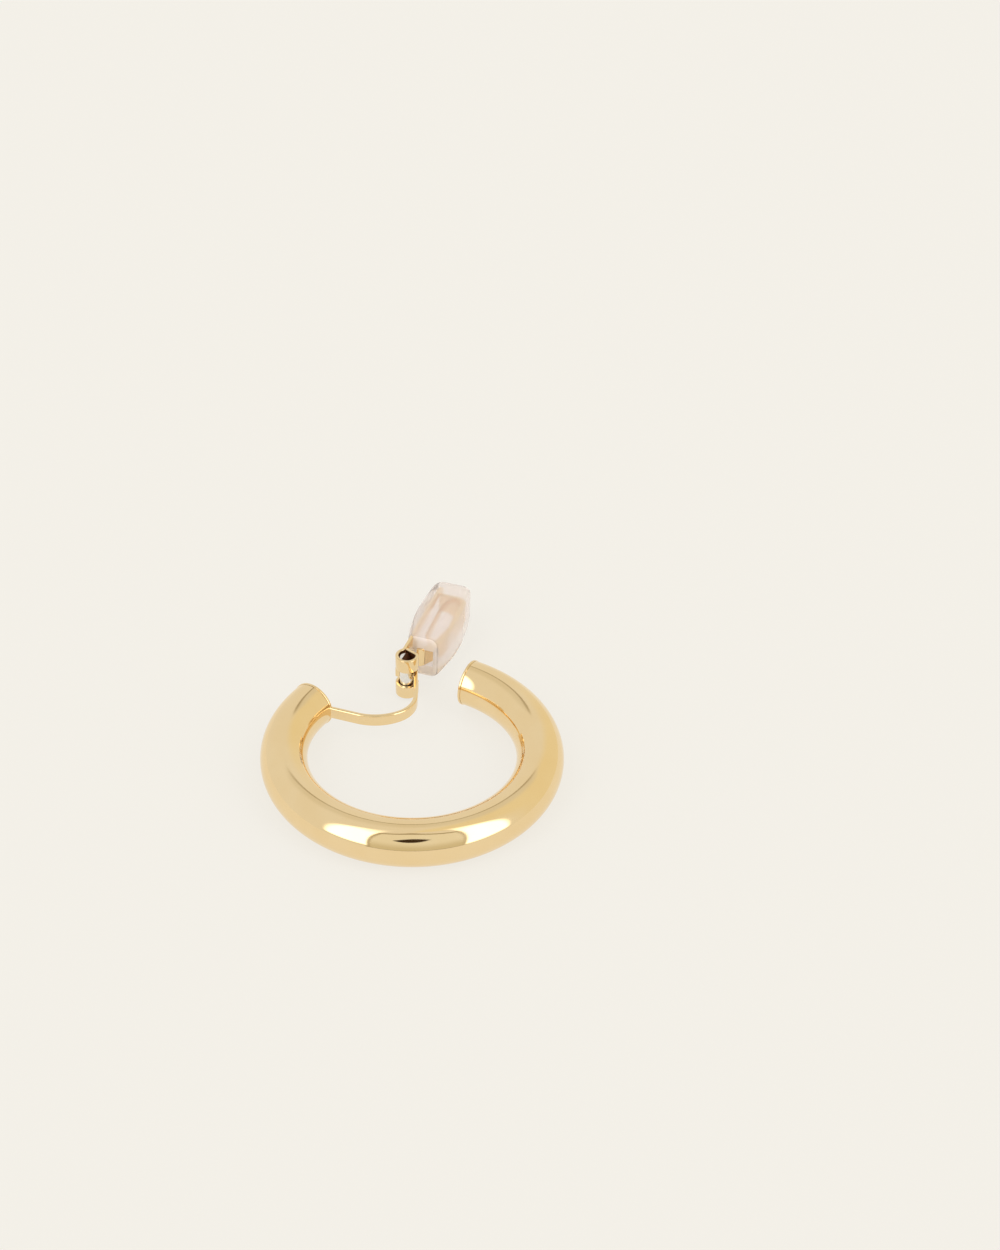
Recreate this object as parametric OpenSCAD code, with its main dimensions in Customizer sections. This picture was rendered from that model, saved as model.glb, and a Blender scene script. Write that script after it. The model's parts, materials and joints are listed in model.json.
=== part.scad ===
// Clip-on hoop earring, lying open on a table.
// The hoop and its bridge band are one soldered piece. A paddle with a clear silicone
// sleeve turns on a pin at the end of the band and closes onto the left end of the hoop.
// All sizes are in millimetres and degrees.

/* [Hoop] */
// Outside diameter of the hoop
hoop_d = 30; // [29:0.25:31]
// Diameter of the round tube
tube_d = 4.68; // [4.4:0.02:5]
// Angle of the end that carries the band, from +X
band_end_deg = 141.5; // [139:0.5:144]
// Angle of the free end, from +X
free_end_deg = 63; // [58:0.5:66]
// Thickness of the flat cap on each end
cap_t = 0.3; // [0.2:0.05:0.5]
// How far the rim of a cap stands out from the tube
cap_lip = 0.05; // [0.02:0.01:0.1]

/* [Bridge band] */
// Width of the band, across the hoop's plane
band_w = 1.25; // [1:0.05:1.4]
// Thickness of the band
band_t = 0.44; // [0.36:0.02:0.5]

/* [Hinge] */
// Hinge pin, distance right of the hoop's centre
hinge_x = -0.6; // [-0.8:0.02:-0.4]
// Hinge pin, distance behind the hoop's centre
hinge_y = 12.62; // [12.3:0.02:12.9]
// Diameter of the hinge pin
pin_d = 1.36; // [1.24:0.02:1.4]
// Length of the hinge pin
pin_len = 4.5; // [4:0.1:4.7]
// Radial running clearance round the pin
pin_gap = 0.07; // [0.05:0.01:0.09]

/* [Clip paddle] */
// How far the open paddle leans to the right of straight back
open_deg = 19.5; // [15:0.5:24]
// Thickness of the paddle's sheet
sheet_t = 0.32; // [0.28:0.02:0.36]
// Length of the paddle, from the pin to its tip
paddle_len = 13.3; // [12.8:0.1:13.4]
// Width of the paddle at its knuckles
paddle_w = 4.84; // [4.6:0.02:5]
// Width of the paddle at its tip
paddle_tip_w = 4; // [3.6:0.1:4.2]
// Height of the bow in the spring tongue
tongue_bow = 2.34; // [2.2:0.02:2.4]

/* [Silicone sleeve] */
// Width of the sleeve, along the hinge pin
sleeve_w = 5.8; // [5.6:0.1:6.2]
// Distance from the pin to the sleeve's open end
sleeve_start = 3.2; // [3:0.1:3.6]
// Distance from the pin to the sleeve's tip
sleeve_end = 14.2; // [14.1:0.1:14.6]

/* [Hidden] */
$fn = 96;

// Hoop: the caps are flush with the ends of the tube
tube_r = tube_d / 2;
ring_r = hoop_d / 2 - tube_r;
cap_r = tube_r + cap_lip;
cap_deg = cap_t / ring_r * 180 / PI;
tube_from = band_end_deg + cap_deg;
tube_span = 360 + free_end_deg - cap_deg - tube_from;

// Band: soldered to the cap near its inner edge, then round a shallow belly, up to the pin
band_inset = 1.68;
band_sunk = 0.23;
cap_dir = [cos(band_end_deg), sin(band_end_deg)];
band_join = (ring_r - band_inset) * cap_dir - band_sunk * [cap_dir[1], -cap_dir[0]];
belly_c = [-3.75, 10.4];
belly_r = 5.2;
belly_from = -112;
belly_to = -66;
bore_r = pin_d / 2 + pin_gap;
curl_r = bore_r + band_t / 2;
curl_to = 160;
rise_r = 3.1;
rise_c = [hinge_x + curl_r - rise_r, 8.6];
rise_from = -52;

// Knuckles: sheet rolled round a D-shaped hole whose flat side faces the paddle
roll_in = 0.88;
roll_tilt = -22;
roll_off = roll_in - bore_r;
roll_flat = 2 * bore_r - roll_in;
knuckle_from = 0.87;

// Plate of the paddle, at the gripping side of the pin, with its window and tongue.
// The tongue is highest a third of the way along, and its tip stands behind the pin.
plate_x = -0.75;
plate_from = 1;
window_w = 1.76;
tip_round = 1.2;
tongue_w = 1.6;
tongue_tip = 1;
tongue_root = 11.4;
tongue_peak = 0.35;
tongue_drop = 0.26;
tongue_weld = 0.4;
tongue_steps = 24;

// Sleeve sections at the open end and the middle:
// distance from the pin, gripping side, back side, width
edge_r = 0.8;
base = [sleeve_start + edge_r, -1.2, 2.4, 5.2];
middle = [7.6, -1.7, 3.2, sleeve_w];
// Round corners at the tip: place across the paddle, distance short of the tip
tip_r = 2.2;
tip_corners = [[-0.5, 0], [1.3, 0], [2.3, 1.5]];
// Hollow of the sleeve round the plate and behind it, for the tongue
sleeve_fit = 0.06;
bay_mouth = 2.2;
bay_depth = 2.5;
bay_from = 4.2;
bay_to = 5.4;
bay_end = 11.8;
soft_fn = 20;
corner_fn = 28;
rim_fn = 12;

// Resting place: the near side of the tube and the sleeve's belly touch the table
belly_y = hinge_y + middle[0] * cos(open_deg) - (middle[2] - edge_r) * sin(open_deg);
rest_tilt = asin((sleeve_w / 2 - tube_r) / (belly_y + ring_r));
rest_lift = ring_r * sin(rest_tilt) + tube_r;
front_y = -ring_r * cos(rest_tilt) - tube_r;
tip_y = hinge_y + (sleeve_end - edge_r) * cos(open_deg) - tip_corners[0][0] * sin(open_deg);
back_y = tip_y * cos(rest_tilt) + (sleeve_w / 2 - tip_r) * sin(rest_tilt) + edge_r;
mid_y = (front_y + back_y) / 2;

// Places what is drawn in the hoop's own plane as it lies on the table
module on_table() {
    translate([0, -mid_y, rest_lift]) rotate([rest_tilt, 0, 0]) children();
}

// Places what is drawn round the pin: x is across the paddle, y along it, z along the pin
module at_hinge() {
    translate([hinge_x, hinge_y, 0]) rotate([0, 0, -open_deg]) children();
}

// Extrudes a flat outline to an even width across the hoop's plane
module across(width) {
    translate([0, 0, -width / 2]) linear_extrude(width) children();
}

function on_circle(c, r, a) = c + r * [cos(a), sin(a)];

// Part of a flat ring, between two angles less than 180 degrees apart
module arc_2d(r, t, from, to) {
    wedge_steps = 8;
    wedge = [for (i = [0:wedge_steps]) on_circle([0, 0], 2 * r, from + (to - from) * i / wedge_steps)];
    intersection() {
        difference() {
            circle(r + t / 2);
            circle(r - t / 2);
        }
        polygon(concat([[0, 0]], wedge));
    }
}

// Flat bar between two points
module bar_2d(a, b, t) {
    d = b - a;
    translate(a) rotate(atan2(d[1], d[0])) translate([0, -t / 2]) square([norm(d), t]);
}

module cap(at_deg) {
    rotate([0, 0, at_deg]) translate([ring_r, 0, 0]) rotate([-90, 0, 0])
        cylinder(r = cap_r, h = cap_t);
}

module band_2d() {
    belly_a = on_circle(belly_c, belly_r, belly_from);
    belly_b = on_circle(belly_c, belly_r, belly_to);
    rise_a = on_circle(rise_c, rise_r, rise_from);
    rise_b = [hinge_x + curl_r, rise_c[1]];
    bar_2d(band_join, belly_a, band_t);
    translate(belly_c) arc_2d(belly_r, band_t, belly_from, belly_to);
    bar_2d(belly_b, rise_a, band_t);
    translate(rise_c) arc_2d(rise_r, band_t, rise_from, 0);
    bar_2d(rise_b, [rise_b[0], hinge_y], band_t);
    translate([hinge_x, hinge_y]) arc_2d(curl_r, band_t, 0, curl_to);
}

module hoop() {
    color("gold") on_table() {
        rotate([0, 0, tube_from]) rotate_extrude(angle = tube_span)
            translate([ring_r, 0]) circle(tube_r);
        cap(band_end_deg);
        cap(free_end_deg - cap_deg);
        across(band_w) band_2d();
    }
}

module hinge_pin() {
    color("silver") on_table() at_hinge()
        translate([0, 0, -pin_len / 2]) cylinder(d = pin_d, h = pin_len);
}

// Round outline with its side towards the paddle cut flat
module roll_2d(r, flat) {
    rotate(roll_tilt) translate([0, roll_off]) intersection() {
        circle(r);
        translate([-r, -r]) square([2 * r, r + flat]);
    }
}

module knuckle() {
    translate([0, 0, knuckle_from]) linear_extrude(paddle_w / 2 - knuckle_from) difference() {
        roll_2d(roll_in + sheet_t, roll_flat + sheet_t);
        roll_2d(roll_in, roll_flat);
    }
}

// Outline of the plate seen square on: x is along the pin, y along the paddle
module plate_2d(grow) {
    half = paddle_w / 2 + grow;
    tip = paddle_tip_w / 2 + grow;
    top = paddle_len + grow;
    round_y = top - tip_round;
    polygon([[-half, plate_from], [half, plate_from], [tip, round_y], [-tip, round_y]]);
    intersection() {
        translate([-tip, round_y]) square([2 * tip, tip_round]);
        union() {
            for (side = [-1, 1]) translate([side * (tip - tip_round), round_y]) circle(tip_round);
            translate([tip_round - tip, round_y]) square([2 * (tip - tip_round), tip_round]);
        }
    }
}

// Stands a square-on outline up as a sheet of thickness t, from x = from on
module sheet(from, t) {
    translate([from, 0, 0]) rotate([0, -90, 0]) mirror([0, 0, 1]) linear_extrude(t) children();
}

// Height of the tongue over the plate, as a share of its bow, from its tip to its root
function tongue_rise(along) = along < tongue_peak
    ? 1 - tongue_drop * pow(1 - along / tongue_peak, 2)
    : pow(cos(90 * (along - tongue_peak) / (1 - tongue_peak)), 2);

// Middle line of the bowed tongue
function tongue_x(y) =
    let (along = (y - tongue_tip) / (tongue_root - tongue_tip))
    plate_x + sheet_t / 2 + tongue_bow * tongue_rise(min(along, 1));

module tongue_2d() {
    step = (tongue_root + tongue_weld - tongue_tip) / tongue_steps;
    ys = [for (i = [0:tongue_steps]) tongue_tip + i * step];
    polygon(concat(
        [for (y = ys) [tongue_x(y) - sheet_t / 2, y]],
        [for (i = [tongue_steps:-1:0]) [tongue_x(ys[i]) + sheet_t / 2, ys[i]]]
    ));
}

module clip_paddle() {
    color("gold") on_table() at_hinge() {
        knuckle();
        mirror([0, 0, 1]) knuckle();
        sheet(plate_x, sheet_t) difference() {
            plate_2d(0);
            translate([-window_w / 2, 0]) square([window_w, tongue_root]);
        }
        across(tongue_w) tongue_2d();
    }
}

// Rounded corner of the sleeve's tip, seen square on
module tip_corner() {
    rotate([0, 90, 0]) rotate_extrude($fn = corner_fn)
        translate([tip_r - edge_r, 0]) circle(edge_r, $fn = rim_fn);
}

module sleeve_body() {
    hull() for (z = [-1, 1]) {
        for (section = [base, middle], x = [section[1] + edge_r, section[2] - edge_r])
            translate([x, section[0], z * (section[3] / 2 - edge_r)]) sphere(edge_r, $fn = soft_fn);
        for (corner = tip_corners)
            translate([corner[0], sleeve_end - tip_r - corner[1], z * (sleeve_w / 2 - tip_r)])
                tip_corner();
    }
}

// Side outline of the hollow behind the plate, from the open end to the tongue's root
module bay_2d() {
    near = plate_x + sheet_t;
    polygon([
        [near, sleeve_start - 1], [near + bay_mouth, sleeve_start - 1],
        [near + bay_depth, bay_from], [near + bay_depth, bay_to], [near, bay_end]
    ]);
}

module silicone_sleeve() {
    color("mistyrose", 0.4) on_table() at_hinge() difference() {
        sleeve_body();
        sheet(plate_x - sleeve_fit, sheet_t + 2 * sleeve_fit) plate_2d(sleeve_fit);
        across(window_w) bay_2d();
    }
}

hoop();
hinge_pin();
clip_paddle();
silicone_sleeve();
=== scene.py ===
# Clip-on hoop earring, lying open on a pale glowing table.
import json
import math

import bpy
from mathutils import Matrix, Vector


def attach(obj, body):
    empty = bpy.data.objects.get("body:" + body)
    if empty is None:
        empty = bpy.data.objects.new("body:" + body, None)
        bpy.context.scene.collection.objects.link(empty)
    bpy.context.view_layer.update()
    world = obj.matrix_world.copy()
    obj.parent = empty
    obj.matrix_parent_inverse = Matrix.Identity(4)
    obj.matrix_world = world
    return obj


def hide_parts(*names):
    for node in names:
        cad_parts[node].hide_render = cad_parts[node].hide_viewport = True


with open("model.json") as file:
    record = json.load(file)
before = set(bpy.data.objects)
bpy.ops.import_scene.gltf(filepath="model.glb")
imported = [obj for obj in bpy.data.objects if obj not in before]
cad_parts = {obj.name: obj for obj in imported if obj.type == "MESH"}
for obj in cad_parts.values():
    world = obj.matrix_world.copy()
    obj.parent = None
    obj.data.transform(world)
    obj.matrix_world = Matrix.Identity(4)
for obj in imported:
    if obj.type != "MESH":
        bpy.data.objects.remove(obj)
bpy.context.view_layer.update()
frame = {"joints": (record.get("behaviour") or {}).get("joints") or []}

# Camera: above the near side of the hoop, looking down at 41 degrees to the hoop's plane.
# The hoop's own plane leans back by the rest tilt, because the sleeve props up its far side,
# so what is drawn flat round the hoop's centre is placed by this one matrix.
mm = 0.001
hinge_place = Vector((-0.6, 12.62, 0)) * mm
joint = frame["joints"][0]
rest_tilt = math.asin(-joint["axis"][1])
lying = (Matrix.Translation(Vector(joint["pos_m"]))
         @ Matrix.Rotation(rest_tilt, 4, "X")
         @ Matrix.Translation(-hinge_place))

view_down = math.radians(41.08)
view_distance = 200 * mm
# The frame's size, the focal length and the hoop's centre in the frame, in pixels
photo_size = (1000, 1250)
photo_focal = 2024
hoop_centre_at = (412.06, 753.98)

eye = Vector((0, -math.cos(view_down), math.sin(view_down))) * view_distance
camera = bpy.data.cameras.new("camera")
camera.sensor_width = 36
camera.lens = camera.sensor_width * photo_focal / photo_size[1]
camera.shift_x = (photo_size[0] / 2 - hoop_centre_at[0]) / photo_size[1]
camera.shift_y = (hoop_centre_at[1] - photo_size[1] / 2) / photo_size[1]
camera.clip_start = 0.01
camera.clip_end = 10
camera_object = bpy.data.objects.new("camera", camera)
bpy.context.scene.collection.objects.link(camera_object)
camera_object.matrix_world = (lying @ Matrix.Translation(eye)
                              @ Matrix.Rotation(math.pi / 2 - view_down, 4, "X"))
bpy.context.scene.camera = camera_object
bpy.context.scene.view_settings.view_transform = "Standard"

# Table: a wide sheet of pale acrylic lit from below, which leaves almost no shadow on it.
# It is the stage that the earring lies on, and no part of it.
table_size = 4.0
table_colour = (0.888, 0.863, 0.807)
table_glow = 0.845
table_reflects = 0.14

bpy.ops.object.select_all(action="DESELECT")
bpy.ops.mesh.primitive_plane_add(size=table_size)
table = bpy.context.object
table.name = "table"
table_finish = bpy.data.materials.new("glowing table")
table_finish.use_nodes = True
shader = table_finish.node_tree.nodes["Principled BSDF"]
own_colour = tuple(table_reflects * part / max(table_colour) for part in table_colour)
shader.inputs["Base Color"].default_value = (*own_colour, 1)
shader.inputs["Roughness"].default_value = 0.9
shader.inputs["Specular IOR Level"].default_value = 0
shader.inputs["Emission Color"].default_value = (*table_colour, 1)
shader.inputs["Emission Strength"].default_value = table_glow
table.data.materials.append(table_finish)

# Light: a pale tent with two white soft boxes that lean in from the near left and right, and
# between them the grey panel round the camera. The gold mirrors all of it, so each has its
# place: bearings are from the near side, positive to the right, and heights from the horizon.
tent_colour = (0.85, 0.84, 0.81)
tent_right = (0.87, 0.81, 0.63)
tent_behind = (0.76, 0.74, 0.68)
seam_colour = (0.42, 0.37, 0.28)
box_colour = (2.5, 2.47, 2.42)
frame_colour = (0.70, 0.68, 0.60)
panel_low = (0.69, 0.65, 0.52)
panel_high = (0.87, 0.87, 0.82)
panel_edge = (0.40, 0.34, 0.24)
slit_colour = (0.05, 0.03, 0.015)

# In degrees. A pair is where a rise or a fade begins and where it ends: of the tent's warm
# part, the ceiling, its seam, the panel's dark outline and the panel in it
warm_near = (60, 100)
warm_behind = (178, 145)
ceiling_sides = (125, 160)
ceiling_foot = (44, 48)
ceiling_top = (74, 56)
seam_sides = (155, 172)
seam_foot = (44.5, 46)
seam_top = (49, 47)
outline_sides = (-2, -1)
outline_foot = (0.5, 1.5)
outline_top = (-6, -4)
panel_sides = (0, 2)
panel_foot = (1.8, 3.2)
panel_top = (0, 3)
panel_turns_pale = (8, 40)
# The panel's top sinks by panel_droop times the bearing squared, and the slit rises by
# slit_lean times the bearing; slit_edge is where its edge fades, as shares of its size
panel_height = 80.0
panel_droop = 0.006
slit_height = 48.5
slit_lean = 0.15
slit_half_width = 15.5
slit_half_height = 8.5
slit_edge = (1.15, 0.85)
# Of each frame and of the box in it: fades at the inner edge, outer edge, foot and top, colour
box_layers = (((0.8, -0.8), (-0.5, 4.5), (-2, 0), (60, 40), frame_colour),
              ((-0.4, -1.6), (0.5, 6), (0, 7), (88, 60), box_colour))
left_foot = 5
right_foot = 0

world = bpy.data.worlds.new("tent")
world.use_nodes = True
bpy.context.scene.world = world
nodes, links = world.node_tree.nodes, world.node_tree.links
nodes.clear()


def math_node(operation, *values):
    """Puts a Math node in the current tree and gives its output."""
    node = nodes.new("ShaderNodeMath")
    node.operation = operation
    for socket, value in zip(node.inputs, values):
        if isinstance(value, (int, float)):
            socket.default_value = value
        else:
            links.new(value, socket)
    return node.outputs[0]


def colour_mix(factor, below, above):
    """Puts a colour Mix node in the current tree and gives its output."""
    node = nodes.new("ShaderNodeMix")
    node.data_type = "RGBA"
    node.clamp_factor = True
    links.new(factor, node.inputs[0])
    for socket, value in ((node.inputs[6], below), (node.inputs[7], above)):
        if isinstance(value, tuple):
            socket.default_value = (*value, 1)
        else:
            links.new(value, socket)
    return node.outputs[2]


def ramp(value, low, high):
    """0 below low, 1 above high and a smooth rise between; low may be the greater."""
    node = nodes.new("ShaderNodeMapRange")
    node.interpolation_type = "SMOOTHSTEP"
    links.new(value, node.inputs["Value"])
    node.inputs["From Min"].default_value = low
    node.inputs["From Max"].default_value = high
    return node.outputs["Result"]


def both(a, b):
    return math_node("MULTIPLY", a, b)


coordinates = nodes.new("ShaderNodeTexCoord")
split = nodes.new("ShaderNodeSeparateXYZ")
links.new(coordinates.outputs["Generated"], split.inputs[0])
east, north, up = split.outputs
toward = math_node("MULTIPLY", north, -1.0)
bearing = math_node("MULTIPLY", math_node("ARCTAN2", east, toward), 180 / math.pi)
bearing_size = math_node("ABSOLUTE", bearing)
height = math_node("MULTIPLY", math_node("ARCSINE", up), 180 / math.pi)


def direction(at_bearing, at_height):
    b, h = math.radians(at_bearing), math.radians(at_height)
    return Vector((math.sin(b) * math.cos(h), -math.cos(b) * math.cos(h), math.sin(h)))


def right_of(foot, top, top_height):
    """Degrees to the right of a straight edge that leans from the horizon up to its top.

    The foot and the top are bearings.
    """
    dot = nodes.new("ShaderNodeVectorMath")
    dot.operation = "DOT_PRODUCT"
    links.new(coordinates.outputs["Generated"], dot.inputs[0])
    dot.inputs[1].default_value = direction(top, top_height).cross(direction(foot, 0)).normalized()
    return math_node("MULTIPLY", dot.outputs["Value"], 180 / math.pi)


def faded(across, fade, side):
    """A rise or fade at a leaning edge; side is 1 on the left and -1, which mirrors it, on the right."""
    return ramp(across, side * fade[0], side * fade[1])


left_outer = right_of(foot=-62, top=-75, top_height=55)
left_inner = right_of(foot=-28.5, top=-36, top_height=57.5)
right_inner = right_of(foot=34, top=45, top_height=52)
right_outer = right_of(foot=70, top=85, top_height=57)

# The tent, a little warmer on the right, with a dim ceiling behind and its crisp front seam
on_right = both(ramp(bearing, *warm_near), ramp(bearing, *warm_behind))
light = colour_mix(on_right, tent_colour, tent_right)
ceiling = both(ramp(height, *ceiling_foot), ramp(height, *ceiling_top))
light = colour_mix(both(ramp(bearing_size, *ceiling_sides), ceiling), light, tent_behind)
seam = both(ramp(height, *seam_foot), ramp(height, *seam_top))
light = colour_mix(both(ramp(bearing_size, *seam_sides), seam), light, seam_colour)
# The panel between the boxes: olive below, paler above, with a dark outline and a dark slit
droop = math_node("MULTIPLY", math_node("MULTIPLY", bearing, bearing), panel_droop)
under_top = math_node("SUBTRACT", math_node("SUBTRACT", panel_height, droop), height)
shade = colour_mix(ramp(height, *panel_turns_pale), panel_low, panel_high)
for sides, foot, top, colour in ((outline_sides, outline_foot, outline_top, panel_edge),
                                 (panel_sides, panel_foot, panel_top, shade)):
    across = both(faded(left_inner, sides, 1), faded(right_inner, sides, -1))
    upward = both(ramp(height, *foot), ramp(under_top, *top))
    light = colour_mix(both(across, upward), light, colour)
slit_rise = math_node("SUBTRACT", math_node("SUBTRACT", height, slit_height),
                      math_node("MULTIPLY", bearing, slit_lean))
leaf = math_node("ADD", math_node("POWER", math_node("DIVIDE", bearing_size, slit_half_width), 2.0),
                 math_node("DIVIDE", math_node("ABSOLUTE", slit_rise), slit_half_height))
light = colour_mix(ramp(leaf, *slit_edge), light, slit_colour)
# The boxes, each inside a thin dim frame and fading towards its top
for inner_fade, outer_fade, (foot_from, foot_to), top_fade, colour in box_layers:
    for inner, outer, side, foot in ((left_inner, left_outer, 1, left_foot),
                                     (right_inner, right_outer, -1, right_foot)):
        across = both(faded(inner, inner_fade, side), faded(outer, outer_fade, side))
        upward = both(ramp(height, foot + foot_from, foot + foot_to), ramp(height, *top_fade))
        light = colour_mix(both(across, upward), light, colour)
# The table's edge and what shows straight through the silicone stand against the plain tent
background = nodes.new("ShaderNodeBackground")
links.new(light, background.inputs["Color"])
plain = nodes.new("ShaderNodeBackground")
plain.inputs["Color"].default_value = (*tent_colour, 1)
rays = nodes.new("ShaderNodeLightPath")
seen = nodes.new("ShaderNodeMixShader")
seen_straight = math_node("MAXIMUM", rays.outputs["Is Camera Ray"], rays.outputs["Is Transmission Ray"])
links.new(seen_straight, seen.inputs[0])
links.new(background.outputs[0], seen.inputs[1])
links.new(plain.outputs[0], seen.inputs[2])
out = nodes.new("ShaderNodeOutputWorld")
links.new(seen.outputs[0], out.inputs["Surface"])

# Hoop: round brass tube bent to a ring and closed at each end by a flat cap with a fine
# groove behind it, then polished and gold plated. Drawn flat round the ring's own centre.
ring_r = 12.66 * mm
tube_r = 2.34 * mm
band_end = math.radians(141.5)
free_end = math.radians(63)
cap_t = 0.3 * mm
tube_sides = 96
ring_steps = 300
# From the end of the tube outwards: step along the tube and radius after it, in mm
cap_profile = ((0, 2.30), (0.035, 2.295), (0, 2.345), (0.012, 2.375), (0.03, 2.39),
               (0.163, 2.39), (0.03, 2.38), (0.02, 2.36), (0.01, 2.33))

gold_colour = (0.908, 0.706, 0.412)
gold_deep = (0.895, 0.685, 0.385)

# In metres: points this near are merged, and places this near count as the same
merge_distance = 1e-7
same_place = 1e-6


def edit(piece):
    """Opens a piece for editing with nothing selected in it."""
    bpy.ops.object.select_all(action="DESELECT")
    piece.select_set(True)
    bpy.context.view_layer.objects.active = piece
    bpy.ops.object.mode_set(mode="EDIT")
    bpy.ops.mesh.select_all(action="DESELECT")


def pick(piece, kind, where):
    """Selects each point, edge or face of an open piece whose middle passes a test."""
    bpy.ops.mesh.select_all(action="DESELECT")
    bpy.ops.mesh.select_mode(type=kind)
    bpy.ops.object.mode_set(mode="OBJECT")
    mesh = piece.data
    at = [v.co.copy() for v in mesh.vertices]
    if kind == "VERT":
        for v in mesh.vertices:
            v.select = where(v.co)
    elif kind == "EDGE":
        for e in mesh.edges:
            e.select = where((at[e.vertices[0]] + at[e.vertices[1]]) / 2)
    else:
        for f in mesh.polygons:
            f.select = where(f.center)
    bpy.ops.object.mode_set(mode="EDIT")


def draw_out(step):
    """Extrudes the selected edges by one straight step, which leaves the new ones selected."""
    bpy.ops.mesh.extrude_edges_move(TRANSFORM_OT_translate={"value": tuple(step)})


def turn_out(steps, angle, center):
    """Spins the selected edges about Z, anticlockwise seen from above, along an arc."""
    bpy.ops.mesh.spin(steps=steps, angle=angle, center=center, axis=(0, 0, -1))


def clean_up():
    """Merges the open piece's points and turns its faces outwards, and ends the editing."""
    bpy.ops.mesh.select_all(action="SELECT")
    bpy.ops.mesh.remove_doubles(threshold=merge_distance)
    bpy.ops.mesh.normals_make_consistent(inside=False)
    bpy.ops.object.mode_set(mode="OBJECT")


def close_up(smooth_angle=35):
    """Cleans up the open piece and makes it smooth except at real corners."""
    clean_up()
    bpy.ops.object.shade_smooth_by_angle(angle=math.radians(smooth_angle))


def settle(piece, place):
    """Puts a piece drawn in its own frame in its place, and the place in its mesh."""
    piece.matrix_world = place
    bpy.ops.object.select_all(action="DESELECT")
    piece.select_set(True)
    bpy.context.view_layer.objects.active = piece
    bpy.ops.object.transform_apply(location=True, rotation=True, scale=True)


def on_ring(angle):
    return Vector((math.cos(angle), math.sin(angle), 0)) * ring_r


def along_ring(angle):
    return Vector((-math.sin(angle), math.cos(angle), 0))


cap_angle = cap_t / ring_r
tube_from = band_end + cap_angle
tube_to = free_end - cap_angle + 2 * math.pi
bpy.ops.object.select_all(action="DESELECT")
bpy.ops.mesh.primitive_circle_add(vertices=tube_sides, radius=tube_r)
tube = bpy.context.object
settle(tube, Matrix.Translation(on_ring(tube_from)) @ Matrix.Rotation(tube_from, 4, "Z")
       @ Matrix.Rotation(math.pi / 2, 4, "X"))
edit(tube)
bpy.ops.mesh.select_all(action="SELECT")
turn_out(steps=ring_steps, angle=tube_to - tube_from, center=(0, 0, 0))
for end, outward in ((tube_from, -1), (tube_to, 1)):
    centre, way = on_ring(end), along_ring(end) * outward
    pick(tube, "VERT", lambda co: abs((co - centre).dot(way)) < same_place
         and (co - centre).length < 2 * tube_r)
    bpy.ops.mesh.select_mode(type="EDGE")
    radius = tube_r / mm
    for step, next_radius in cap_profile:
        draw_out(way * step * mm)
        centre = centre + way * step * mm
        bpy.ops.transform.resize(value=(next_radius / radius,) * 3, center_override=centre)
        radius = next_radius
    bpy.ops.mesh.edge_face_add()
close_up()

# Bridge band: flat brass strip with rounded edges, soldered to the band cap near its inner
# edge and plated with it. It dips under the lobe, rises and curls round the pin from the right.
band_t = 0.44 * mm
band_w = 1.25 * mm
band_edge = 0.11 * mm
band_join = Vector((-8.736, 6.655, 0)) * mm
band_heading = math.radians(-19.59)
band_straight = 3.442 * mm
belly_centre = Vector((-3.75, 10.4, 0)) * mm
belly_end = math.radians(29.06)
rise_centre = Vector((-2.73, 8.5644, 0)) * mm
curl_angle = math.radians(160)

bpy.ops.object.select_all(action="DESELECT")
bpy.ops.mesh.primitive_plane_add(size=1)
band = bpy.context.object
settle(band, Matrix.Translation(band_join) @ Matrix.Rotation(band_heading, 4, "Z")
       @ Matrix.Rotation(math.pi / 2, 4, "Y") @ Matrix.Diagonal((band_w, band_t, 1, 1)))
edit(band)
bpy.ops.mesh.select_all(action="SELECT")
bpy.ops.mesh.bevel(offset=band_edge, segments=5, affect="VERTICES")
bpy.ops.mesh.delete(type="ONLY_FACE")
bpy.ops.mesh.select_all(action="SELECT")
draw_out(Vector((math.cos(band_heading), math.sin(band_heading), 0)) * band_straight)
turn_out(steps=24, angle=belly_end - band_heading, center=belly_centre)
turn_out(steps=30, angle=math.radians(90) - belly_end, center=rise_centre)
draw_out(Vector((0, hinge_place.y - rise_centre.y, 0)))
turn_out(steps=64, angle=curl_angle, center=hinge_place)
bpy.ops.mesh.select_all(action="SELECT")
bpy.ops.mesh.fill_holes(sides=0)
close_up()

bpy.ops.object.select_all(action="DESELECT")
band.select_set(True)
tube.select_set(True)
bpy.context.view_layer.objects.active = tube
bpy.ops.object.join()
hoop = tube
hoop.name = "hoop_metal"
settle(hoop, lying)
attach(hoop, "hoop_body")
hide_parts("hoop")

# Clouds of slightly duller polish, which every finish has at its own scale
cloud_edges = (0.3, 0.7)
polish = bpy.data.node_groups.new("uneven polish", "ShaderNodeTree")
for name, kind in (("Vector", "NodeSocketVector"), ("Scale", "NodeSocketFloat"),
                   ("Smoothest", "NodeSocketFloat"), ("Roughest", "NodeSocketFloat")):
    polish.interface.new_socket(name, in_out="INPUT", socket_type=kind)
for name in ("Mask", "Roughness"):
    polish.interface.new_socket(name, in_out="OUTPUT", socket_type="NodeSocketFloat")
nodes, links = polish.nodes, polish.links
given = nodes.new("NodeGroupInput")
cloud = nodes.new("ShaderNodeTexNoise")
links.new(given.outputs["Vector"], cloud.inputs["Vector"])
links.new(given.outputs["Scale"], cloud.inputs["Scale"])
mask = ramp(cloud.outputs["Fac"], *cloud_edges)
spread = nodes.new("ShaderNodeMapRange")
links.new(mask, spread.inputs["Value"])
links.new(given.outputs["Smoothest"], spread.inputs["To Min"])
links.new(given.outputs["Roughest"], spread.inputs["To Max"])
result = nodes.new("NodeGroupOutput")
links.new(mask, result.inputs["Mask"])
links.new(spread.outputs["Result"], result.inputs["Roughness"])


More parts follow.
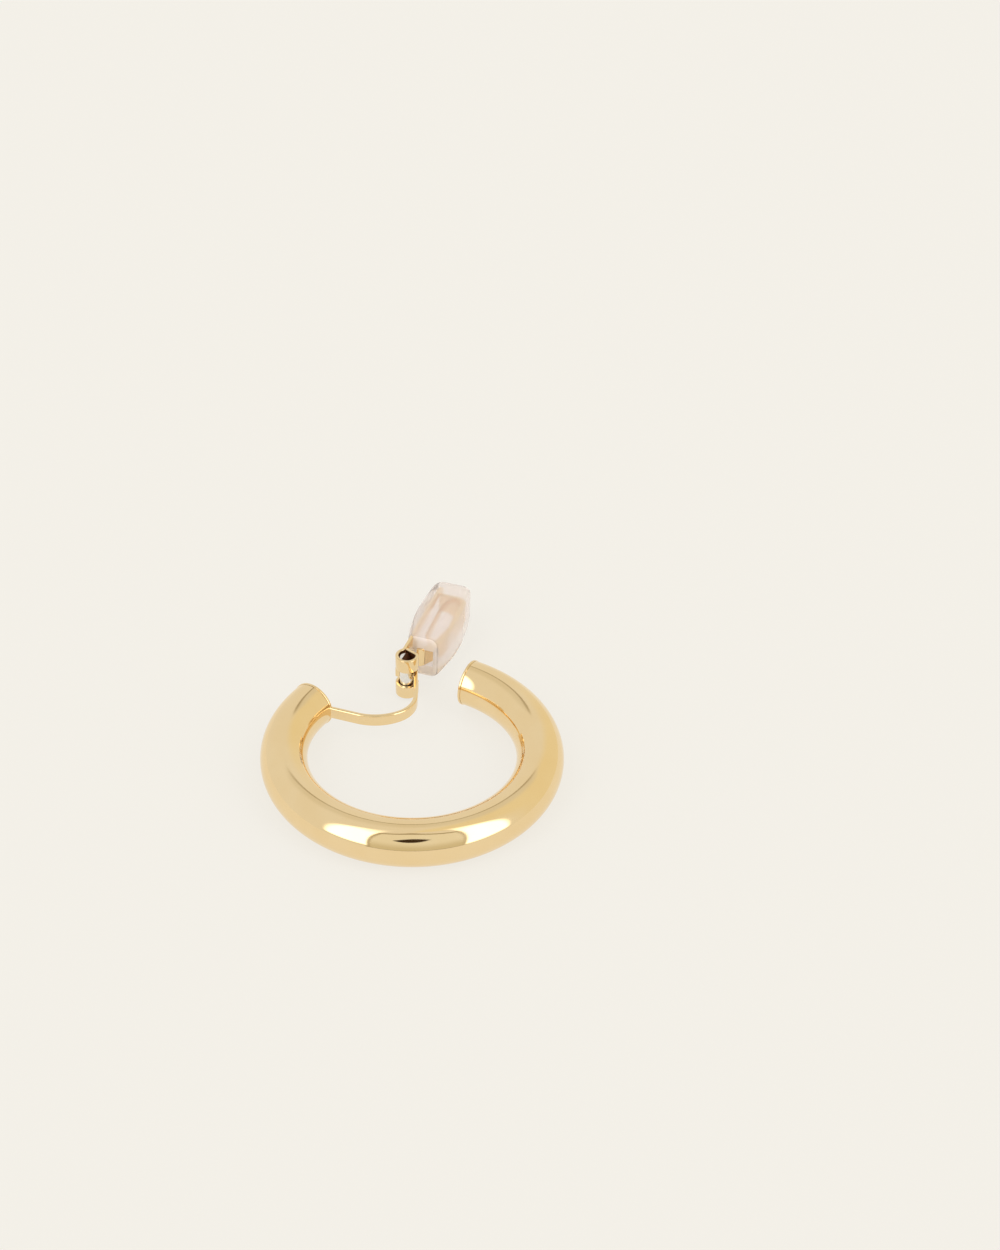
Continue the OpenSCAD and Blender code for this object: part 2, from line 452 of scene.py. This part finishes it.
def clouded(name, deep, pale, scale, smoothest, roughest, metallic=1):
    """Makes a material of two close colours in clouds, with the roughness that goes with them."""
    global nodes, links
    material = bpy.data.materials.new(name)
    material.use_nodes = True
    nodes = material.node_tree.nodes
    links = material.node_tree.links
    place = nodes.new("ShaderNodeTexCoord")
    uneven = nodes.new("ShaderNodeGroup")
    uneven.node_tree = polish
    for socket, value in (("Scale", scale), ("Smoothest", smoothest), ("Roughest", roughest)):
        uneven.inputs[socket].default_value = value
    links.new(place.outputs["Object"], uneven.inputs["Vector"])
    surface = nodes["Principled BSDF"]
    surface.inputs["Metallic"].default_value = metallic
    links.new(uneven.outputs["Roughness"], surface.inputs["Roughness"])
    links.new(colour_mix(uneven.outputs["Mask"], deep, pale), surface.inputs["Base Color"])
    return material


gold = clouded("polished gold plate", gold_deep, gold_colour, scale=300, smoothest=0.055, roughest=0.085)
hoop.data.materials.append(gold)

# Hinge pin: a short steel wire pushed through the knuckles and the band's curl. Side
# cutters left each end half flat and half slanting.
steel_pale = (0.89, 0.87, 0.83)
steel_deep = (0.83, 0.81, 0.77)
# Painted shade: the slanting cut faces are a dark metallic brown that stands in for the shade deep in the
# knuckle's hole
painted_cut_shade_pale = (0.12, 0.055, 0.03)
painted_cut_shade_deep = (0.08, 0.035, 0.02)
pin_r = 0.68 * mm
pin_sides = 64
pin_edge = 0.05 * mm
pin_length = 4.5 * mm
shear_slope = math.radians(50)
shear_bearing = math.radians(-22.5)
shear_at = Vector((-0.2, 0, 0)) * mm
# How far a slanting face looks along the pin, from 0 for its side to 1 for a flat end, and
# the least area that it has; these slanting faces get the painted shade
painted_shade_facing = (0.3, 0.8)
painted_shade_area = 0.2 * mm * mm

bpy.ops.object.select_all(action="DESELECT")
bpy.ops.mesh.primitive_cylinder_add(vertices=pin_sides, radius=pin_r, depth=pin_length)
pin = bpy.context.object
pin.name = "hinge_wire"
edit(pin)
pick(pin, "FACE", lambda co: abs(abs(co.z) - pin_length / 2) < same_place)
bpy.ops.mesh.bevel(offset=pin_edge, segments=3)
for end in (1, -1):
    slant = Vector((math.cos(shear_bearing) * math.sin(shear_slope),
                    math.sin(shear_bearing) * math.sin(shear_slope), end * math.cos(shear_slope)))
    bpy.ops.mesh.select_all(action="SELECT")
    bpy.ops.mesh.bisect(plane_co=shear_at + Vector((0, 0, end * pin_length / 2)), plane_no=slant,
                        clear_outer=True)
bpy.ops.mesh.select_all(action="SELECT")
bpy.ops.mesh.fill_holes(sides=0)
close_up(smooth_angle=30)
settle(pin, lying @ Matrix.Translation(hinge_place))
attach(pin, "hoop_body")
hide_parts("hinge_pin")

pin.data.materials.append(clouded("bright steel", steel_deep, steel_pale, scale=1800,
                                  smoothest=0.2, roughest=0.3))
# Painted shade on the slanting cut faces, in place of the dark of the knuckle's hole
pin.data.materials.append(clouded("sheared steel with painted shade", painted_cut_shade_deep, painted_cut_shade_pale, scale=5000,
                                  smoothest=0.38, roughest=0.52))
pin_axis = (lying.to_3x3() @ Vector((0, 0, 1))).normalized()
# The slanting faces, neither side nor flat end, get the painted shade
for face in pin.data.polygons:
    facing = abs(face.normal.dot(pin_axis))
    if painted_shade_facing[0] < facing < painted_shade_facing[1] and face.area > painted_shade_area:
        face.material_index = 1

# Clip paddle: one stamping of gold plated sheet. Two legs beside a window are rolled round
# the pin to D-shaped knuckles, and the tongue left between them is bowed back as a spring.
# Drawn round the pin: x across the paddle, y along it, z along the pin.
# Painted shade: the inward faces of the knuckles are a dark metallic brown that stands in for the shade
# in the narrow rolls, on a rougher gold
painted_roll_shade_pale = (0.34, 0.16, 0.065)
painted_roll_shade_deep = (0.26, 0.12, 0.045)
sheet_t = 0.32 * mm
sheet_edge = 0.05 * mm
sheet_x = -0.59 * mm
paddle_length = 13.3 * mm
tip_half = 2.0 * mm
tip_round = 1.2 * mm
leg_in = 1.1 * mm
knuckle_in = 0.88 * mm
knuckle_out = 2.42 * mm
window_end = 11.4 * mm
bend_r = 0.5 * mm
roll_centre = Vector((0.0487, 0.1205, 0)) * mm
roll_r = 1.04 * mm
roll_stop = math.radians(15)
lip_r = 0.35 * mm
lip_turn = math.radians(53)
flap_length = 1.3 * mm
tongue_half = 1.02 * mm
tongue_root = 12.6 * mm
tongue_x = 1.98 * mm
root_bend_r = 0.3 * mm
shoulder_r = 0.55 * mm
spring_straight = 4.95 * mm
spring_r = 5.0 * mm
spring_turn = math.radians(31.3)
spring_end = 0.9 * mm
toe_r = 0.9 * mm
toe_turn = math.radians(54)
open_angle = math.radians(19.5)
round_pin = lying @ Matrix.Translation(hinge_place) @ Matrix.Rotation(-open_angle, 4, "Z")
# The inside of a knuckle, which gets the painted shade, is within this reach of the pin's axis, and a
# face that looks along the pin more than this is the sheet's own edge
knuckle_reach = 1.2 * mm
edge_facing = 0.5

bpy.ops.object.select_all(action="DESELECT")
bpy.ops.mesh.primitive_plane_add(size=1)
paddle = bpy.context.object
paddle.name = "clip_sheet"
settle(paddle, Matrix.Translation((sheet_x, (window_end + paddle_length) / 2, 0))
       @ Matrix.Rotation(math.pi / 2, 4, "Y")
       @ Matrix.Diagonal((2 * tip_half, paddle_length - window_end, 1, 1)))
edit(paddle)
pick(paddle, "VERT", lambda co: co.y > tongue_root)
bpy.ops.mesh.bevel(offset=tip_round, segments=12, affect="VERTICES")
for cut in (leg_in, tongue_half, -tongue_half, -leg_in):
    bpy.ops.mesh.select_all(action="SELECT")
    bpy.ops.mesh.bisect(plane_co=(0, 0, cut), plane_no=(0, 0, 1))
bpy.ops.mesh.select_all(action="SELECT")
bpy.ops.mesh.bisect(plane_co=(0, tongue_root, 0), plane_no=(0, 1, 0))
pick(paddle, "FACE", lambda co: co.y < tongue_root and abs(co.z) < leg_in)
bpy.ops.mesh.delete(type="FACE")
pick(paddle, "EDGE", lambda co: abs(co.y - tongue_root) < same_place and abs(co.z) < tongue_half)
root_centre = Vector((sheet_x + root_bend_r, tongue_root, 0))
turn_out(steps=6, angle=math.radians(90), center=root_centre)
draw_out((tongue_x - shoulder_r - root_centre.x, 0, 0))
shoulder = Vector((tongue_x - shoulder_r, tongue_root - root_bend_r - shoulder_r, 0))
turn_out(steps=10, angle=-math.radians(90), center=shoulder)
draw_out((0, -spring_straight, 0))
bow_centre = Vector((tongue_x - spring_r, shoulder.y - spring_straight, 0))
turn_out(steps=14, angle=-spring_turn, center=bow_centre)
inward = Vector((-math.cos(spring_turn), math.sin(spring_turn), 0))
downward = Vector((-math.sin(spring_turn), -math.cos(spring_turn), 0))
draw_out(downward * spring_end)
toe_centre = bow_centre - inward * spring_r + downward * spring_end + inward * toe_r
turn_out(steps=10, angle=-toe_turn, center=toe_centre)
pick(paddle, "EDGE", lambda co: abs(co.y - window_end) < same_place and abs(co.z) > leg_in)
bend_centre = Vector((sheet_x - bend_r, 0, 0))
bend_centre.y = roll_centre.y + math.sqrt((roll_r + bend_r) ** 2 - (roll_centre.x - bend_centre.x) ** 2)
draw_out((0, bend_centre.y - window_end, 0))
for side in (1, -1):
    for was, now in ((tip_half, knuckle_out), (leg_in, knuckle_in)):
        pick(paddle, "VERT", lambda co: abs(co.y - bend_centre.y) < same_place
             and abs(co.z - side * was) < same_place)
        bpy.ops.transform.translate(value=(0, 0, side * (now - was)))
pick(paddle, "EDGE", lambda co: abs(co.y - bend_centre.y) < same_place
     and abs(co.z) > knuckle_in + same_place and abs(co.x - sheet_x) < same_place)
toward_roll = roll_centre - bend_centre
bend_turn = math.atan2(toward_roll.y, toward_roll.x)
turn_out(steps=8, angle=bend_turn, center=bend_centre)
roll_turn = 2 * math.pi + roll_stop - (math.pi + bend_turn)
turn_out(steps=44, angle=roll_turn, center=roll_centre)
lip = Vector((math.cos(roll_stop), math.sin(roll_stop), 0))
turn_out(steps=10, angle=lip_turn, center=roll_centre + lip * (roll_r - lip_r))
flap = math.radians(90) + roll_stop + lip_turn
draw_out(Vector((math.cos(flap), math.sin(flap), 0)) * flap_length)
clean_up()
wall = paddle.modifiers.new("wall", "SOLIDIFY")
wall.thickness = sheet_t
wall.offset = 0
wall.use_even_offset = True
bpy.ops.object.modifier_apply(modifier="wall")
edges = paddle.modifiers.new("edges", "BEVEL")
edges.width = sheet_edge
edges.segments = 3
edges.limit_method = "ANGLE"
edges.angle_limit = math.radians(40)
bpy.ops.object.modifier_apply(modifier="edges")
edit(paddle)
close_up()
settle(paddle, round_pin)
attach(paddle, "clip_body")
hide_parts("clip_paddle")
paddle.data.materials.append(gold)
# Painted shade inside the rolls, with a rougher finish
paddle.data.materials.append(clouded("rough gold with painted shade inside the rolls", painted_roll_shade_deep, painted_roll_shade_pale,
                                     scale=3000, smoothest=0.33, roughest=0.47))
to_round_pin = round_pin.inverted()
# Faces inside a knuckle that look in towards the pin, but not the sheet's edges, get the painted shade
for face in paddle.data.polygons:
    middle = to_round_pin @ face.center
    out = to_round_pin.to_3x3() @ face.normal
    middle.z = 0
    if middle.length < knuckle_reach and out.dot(middle) < 0 and abs(out.z) < edge_facing:
        face.material_index = 1

# Sleeve: a soft cushion of clear, faintly pink silicone, moulded as one smooth sock and
# pulled over the paddle. Its sections are lofted along the paddle from the open end.
silicone_pale = (0.985, 0.927, 0.912)
silicone_deep = (0.975, 0.909, 0.888)
sections = 40
# All in mm. Each section's distance from the pin, gripping side, back side and half width
sleeve_shape = ((3.2, -1.0, 2.25, 2.5), (5.2, -1.35, 2.55, 2.75), (7.4, -1.6, 2.86, 2.9),
                (9.9, -1.57, 2.9, 2.9), (10.4, -1.54, 2.82, 2.9), (12.2, -1.38, 2.65, 2.9),
                (14.2, -1.1, 2.42, 2.9))
mouth_at = sleeve_shape[0][0]
tip_at = sleeve_shape[-1][0]
mouth_round = 0.45
edge_round = 0.8
tip_corner = 2.2
long_edge_round = 0.6
# The hollow for the tongue, whose back wall slants in from bay_bend to the mouth
bay_low, bay_high = -0.6, 2.25
bay_half = 0.98
bay_from, bay_bend, bay_end = 2, 6.5, 12.56
bay_slant = 0.6
# A face is the cut mouth's up to cut_end, and the hollow's past wall_from and within wall_slack
cut_end = 3.4
wall_from = 4
wall_slack = 0.01


def between(y, column):
    """A size of the sleeve at a distance from the pin, on a smooth line through the sections."""
    rows = sleeve_shape
    for i in range(len(rows) - 1):
        if y <= rows[i + 1][0]:
            break
    a, b = rows[i], rows[i + 1]
    before, after = rows[max(i - 1, 0)], rows[min(i + 2, len(rows) - 1)]
    run = b[0] - a[0]
    share = (y - a[0]) / run
    slope_a = (b[column] - before[column]) / (b[0] - before[0]) * run
    slope_b = (after[column] - a[column]) / (after[0] - a[0]) * run
    return ((2 * share ** 3 - 3 * share ** 2 + 1) * a[column]
            + (share ** 3 - 2 * share ** 2 + share) * slope_a
            + (3 * share ** 2 - 2 * share ** 3) * b[column]
            + (share ** 3 - share ** 2) * slope_b)


def inset(distance, radius):
    """How far a rounded edge has drawn in at a distance from its end."""
    return radius - math.sqrt(max(radius ** 2 - max(radius - distance, 0) ** 2, 0))


def section(y):
    """Gripping side, back side and half width at y, with both ends rounded."""
    low, high, half = (between(y, column) for column in (1, 2, 3))
    near = inset(y - mouth_at, mouth_round)
    far = inset(tip_at - y, edge_round)
    return low + near + far, high - near - far, half - near - inset(tip_at - y, tip_corner)


shares = [0.5 - 0.5 * math.cos(math.pi * i / sections) for i in range(sections + 1)]
places = [mouth_at + (tip_at - mouth_at) * share for share in shares]
low, high, half = section(places[0])
bpy.ops.object.select_all(action="DESELECT")
bpy.ops.mesh.primitive_plane_add(size=1)
sleeve = bpy.context.object
sleeve.name = "silicone_cushion"
settle(sleeve, Matrix.Translation(Vector(((low + high) / 2, places[0], 0)) * mm)
       @ Matrix.Rotation(math.pi / 2, 4, "X") @ Matrix.Diagonal(((high - low) * mm, 2 * half * mm, 1, 1)))
edit(sleeve)
bpy.ops.mesh.select_all(action="SELECT")
bpy.ops.mesh.bevel(offset=long_edge_round * mm, segments=8, affect="VERTICES")
for i in range(1, len(places)):
    next_low, next_high, next_half = section(places[i])
    middle = Vector(((low + high) / 2, places[i - 1], 0)) * mm
    step = Vector(((next_low + next_high - low - high) / 2, places[i] - places[i - 1], 0)) * mm
    bpy.ops.mesh.extrude_region_move(TRANSFORM_OT_translate={"value": step})
    bpy.ops.transform.resize(value=((next_high - next_low) / (high - low), 1, next_half / half),
                             center_override=middle + step)
    low, high, half = next_low, next_high, next_half
close_up(smooth_angle=60)

bpy.ops.object.select_all(action="DESELECT")
bpy.ops.mesh.primitive_cube_add(size=1)
bay = bpy.context.object
settle(bay, Matrix.Translation(Vector(((bay_low + bay_high) / 2, (bay_bend + bay_end) / 2, 0)) * mm)
       @ Matrix.Diagonal(((bay_high - bay_low) * mm, (bay_end - bay_bend) * mm, 2 * bay_half * mm, 1)))
edit(bay)
pick(bay, "FACE", lambda co: abs(co.y - bay_bend * mm) < same_place)
bpy.ops.mesh.extrude_region_move(TRANSFORM_OT_translate={"value": (0, (bay_from - bay_bend) * mm, 0)})
pick(bay, "VERT", lambda co: abs(co.y - bay_from * mm) < same_place and co.x > 0)
bpy.ops.transform.translate(value=(-bay_slant * mm, 0, 0))
close_up()
cut = sleeve.modifiers.new("cut", "BOOLEAN")
cut.operation = "DIFFERENCE"
cut.solver = "EXACT"
cut.object = bay
bpy.ops.object.select_all(action="DESELECT")
bpy.context.view_layer.objects.active = sleeve
bpy.ops.object.modifier_apply(modifier=cut.name)
bpy.data.objects.remove(bay)
edit(sleeve)
close_up(smooth_angle=60)
for face in sleeve.data.polygons:
    middle = face.center / mm
    in_bay = (abs(middle.z) < bay_half + wall_slack and wall_from < middle.y < bay_end + wall_slack
              and bay_low - wall_slack < middle.x < bay_high + wall_slack)
    if middle.y < cut_end:
        face.material_index = 2
    elif in_bay:
        face.material_index = 1
settle(sleeve, round_pin)
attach(sleeve, "clip_body")
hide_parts("silicone_sleeve")

# Its haze is in the outer skin only: the walls of its hollow are clear, its cut mouth matt
for name, haze in (("milky silicone", 0.35), ("clear silicone inside", 0.0), ("cut silicone", 0.65)):
    silicone = clouded(name, silicone_deep, silicone_pale, scale=500, smoothest=0.06, roughest=0.1,
                       metallic=0)
    shader = silicone.node_tree.nodes["Principled BSDF"]
    shader.inputs["IOR"].default_value = 1.13
    shader.inputs["Transmission Weight"].default_value = 1 - haze
    sleeve.data.materials.append(silicone)
